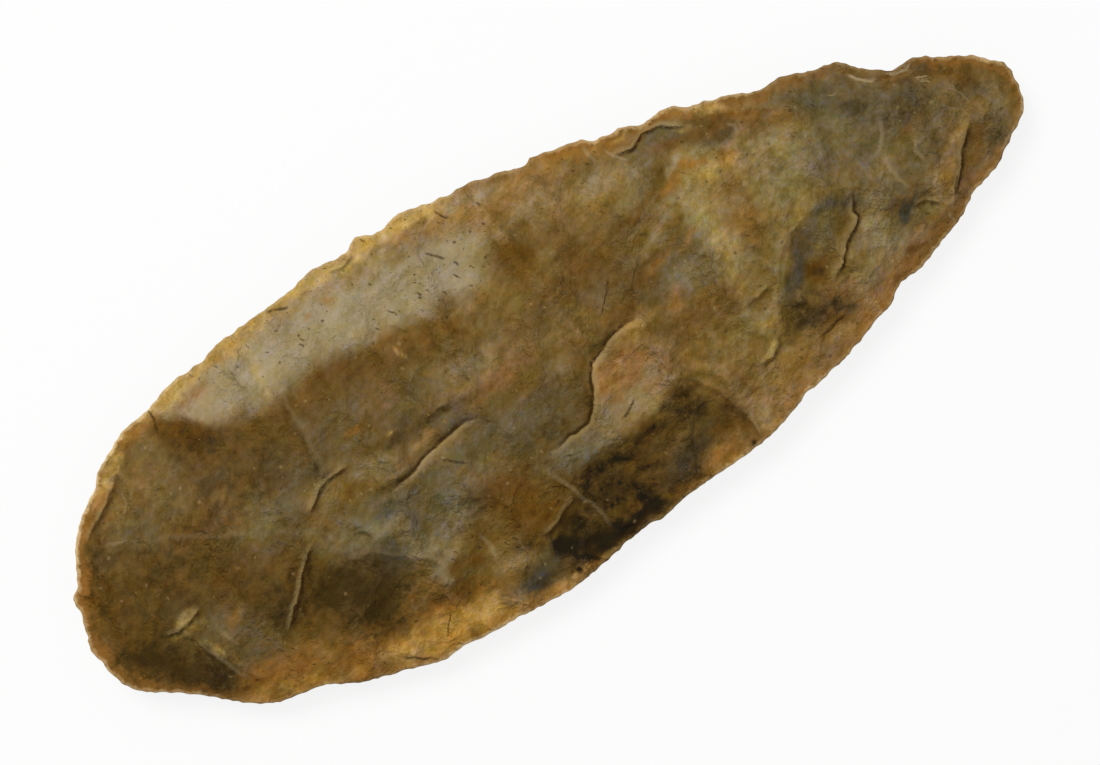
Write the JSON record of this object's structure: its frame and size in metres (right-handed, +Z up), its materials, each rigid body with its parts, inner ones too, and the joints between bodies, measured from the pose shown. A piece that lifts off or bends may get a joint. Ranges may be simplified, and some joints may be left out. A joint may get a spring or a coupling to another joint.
{
  "type": "knapped chert blade",
  "caption": "Leaf-shaped chert blade flaked on both faces, with a rounded base, a blunt tip and a finely retouched edge.",
  "frame": {"origin": "middle of the length and width, on the plane that the blade rests on", "axes": "+X along the length from the rounded base to the tip, +Y across the face, +Z up through the thickness"},
  "size_m": [0.15, 0.057, 0.0114],
  "materials": {
    "chert": "satin"
  },
  "bodies": {
    "root": {"blade": "chert"}
  },
  "joints": []
}
